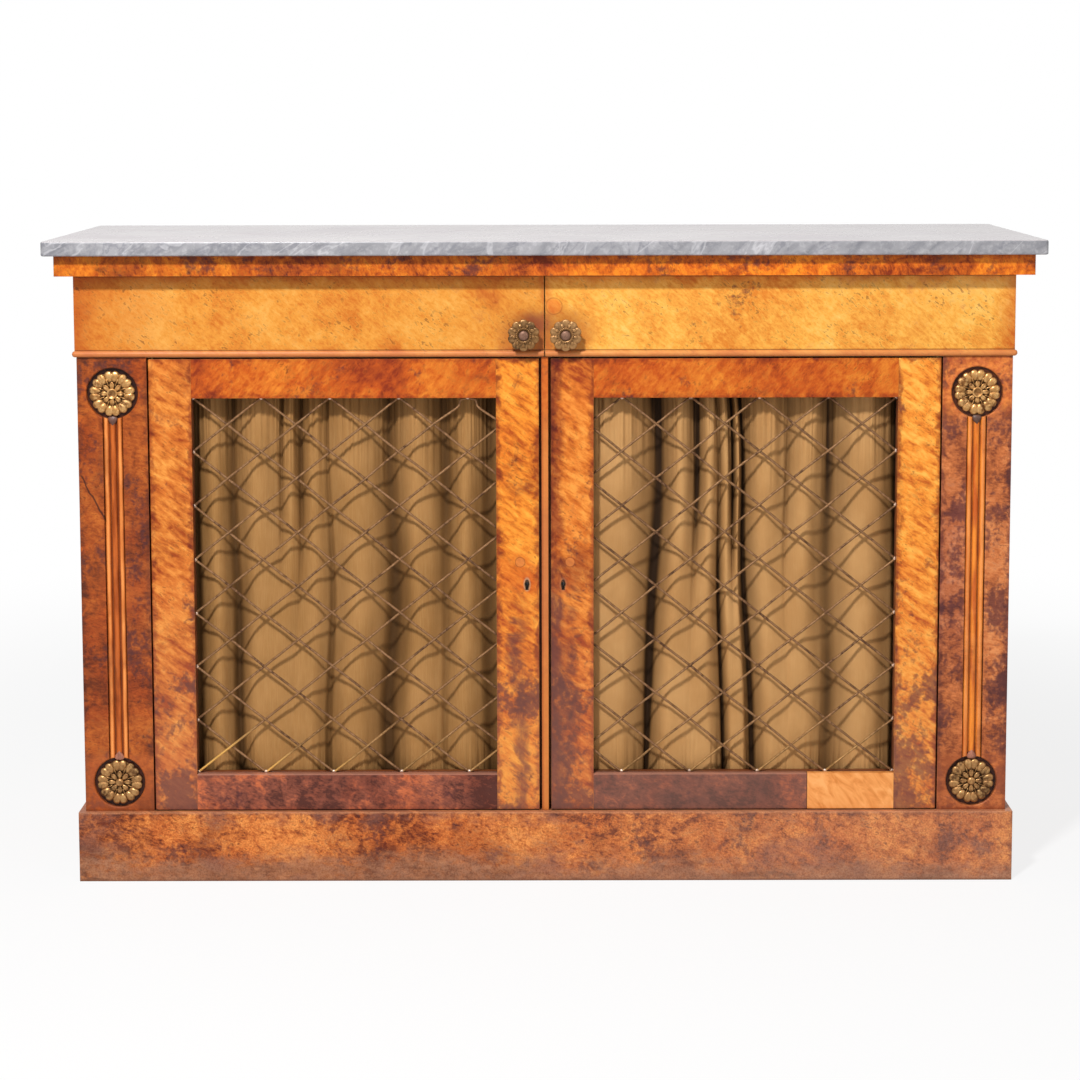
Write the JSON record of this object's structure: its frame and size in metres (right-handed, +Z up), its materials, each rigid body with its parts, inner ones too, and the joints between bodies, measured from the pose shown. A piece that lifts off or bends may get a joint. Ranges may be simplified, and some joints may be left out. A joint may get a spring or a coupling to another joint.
{
  "type": "side cabinet",
  "caption": "Low side cabinet with a marble top, frieze drawers, and trellised doors backed with gathered cloth between reeded pilasters.",
  "frame": {"origin": "middle of the underside of the plinth, under the middle of the marble's plan", "axes": "+X to the right seen from the front, the front faces -Y, +Z up"},
  "size_m": [1.4, 0.43, 0.9223],
  "materials": {
    "marble": "polished, worn",
    "cornice_veneer": "french polished",
    "carcase_veneer": "french polished",
    "plinth_veneer": "french polished, worn",
    "pilaster_veneer": "french polished",
    "door_veneer": "french polished",
    "drawer_veneer": "french polished",
    "carcase_pine": "bare",
    "drawer_lining": "bare",
    "bead_wood": "stained",
    "gilt_brass": "gilt, worn",
    "knob_brass": "dull",
    "trellis_brass": "satin",
    "keyhole_brass": "satin",
    "hinge_brass": "dull",
    "curtain_cloth": "plain weave",
    "curtain_rod": "dull",
    "lock_steel": "dull"
  },
  "bodies": {
    "cabinet": {"back_panels": "carcase_pine", "back_rails": "carcase_pine", "back_stiles": "carcase_pine", "bottom_board": "carcase_pine", "centre_post": "pilaster_veneer", "cornice_front": "cornice_veneer", "cornice_returns": "cornice_veneer", "drawer_divider": "carcase_pine", "drawer_rail": "carcase_pine", "drawer_stops": "carcase_pine", "dust_board": "carcase_pine", "frieze_returns": "carcase_veneer", "lower_rosettes": "gilt_brass", "marble_top": "marble", "pilaster_left": "pilaster_veneer", "pilaster_right": "pilaster_veneer", "pivot_sockets": "hinge_brass", "plinth_back": "carcase_pine", "plinth_blocks": "carcase_pine", "plinth_front": "plinth_veneer", "plinth_sides": "plinth_veneer", "shelf": "carcase_pine", "shelf_bearers": "carcase_pine", "side_left": "carcase_veneer", "side_right": "carcase_veneer", "top_board": "carcase_pine", "top_rail": "carcase_pine", "upper_rosettes": "gilt_brass"},
    "left_door": {"left_bottom_rail": "door_veneer", "left_curtain": "curtain_cloth", "left_curtain_rods": "curtain_rod", "left_hanging_stile": "door_veneer", "left_keyhole_lining": "keyhole_brass", "left_lock": "lock_steel", "left_meeting_stile": "door_veneer", "left_pivots": "hinge_brass", "left_top_rail": "door_veneer", "left_trellis": "trellis_brass", "left_trellis_beads": "bead_wood"},
    "right_door": {"right_bottom_rail": "door_veneer", "right_curtain": "curtain_cloth", "right_curtain_rods": "curtain_rod", "right_hanging_stile": "door_veneer", "right_keyhole_lining": "keyhole_brass", "right_lock": "lock_steel", "right_meeting_stile": "door_veneer", "right_pivots": "hinge_brass", "right_top_rail": "door_veneer", "right_trellis": "trellis_brass", "right_trellis_beads": "bead_wood"},
    "left_bolt": {"left_lock_bolt": "lock_steel"},
    "right_bolt": {"right_lock_bolt": "lock_steel"},
    "left_drawer": {"left_drawer_bottom": "drawer_lining", "left_drawer_box": "drawer_lining", "left_drawer_front": "drawer_veneer", "left_knob": "knob_brass"},
    "right_drawer": {"right_drawer_bottom": "drawer_lining", "right_drawer_box": "drawer_lining", "right_drawer_front": "drawer_veneer", "right_knob": "knob_brass"}
  },
  "joints": [
    {"name": "left_door_swing", "type": "hinge", "parent": "cabinet", "child": "left_door", "pos_m": [-0.55475, -0.1699, 0.4], "axis": [0, 0, -1], "range_deg": [0, 95]},
    {"name": "left_bolt_slide", "type": "slide", "parent": "left_door", "child": "left_bolt", "axis": [1, 0, 0], "range_m": [0, 0.006]},
    {"name": "left_drawer_slide", "type": "slide", "parent": "cabinet", "child": "left_drawer", "axis": [0, -1, 0], "range_m": [0, 0.26]},
    {"name": "right_door_swing", "type": "hinge", "parent": "cabinet", "child": "right_door", "pos_m": [0.55475, -0.1699, 0.4], "axis": [0, 0, 1], "range_deg": [0, 95]},
    {"name": "right_bolt_slide", "type": "slide", "parent": "right_door", "child": "right_bolt", "axis": [-1, 0, 0], "range_m": [0, 0.006]},
    {"name": "right_drawer_slide", "type": "slide", "parent": "cabinet", "child": "right_drawer", "axis": [0, -1, 0], "range_m": [0, 0.26]}
  ]
}
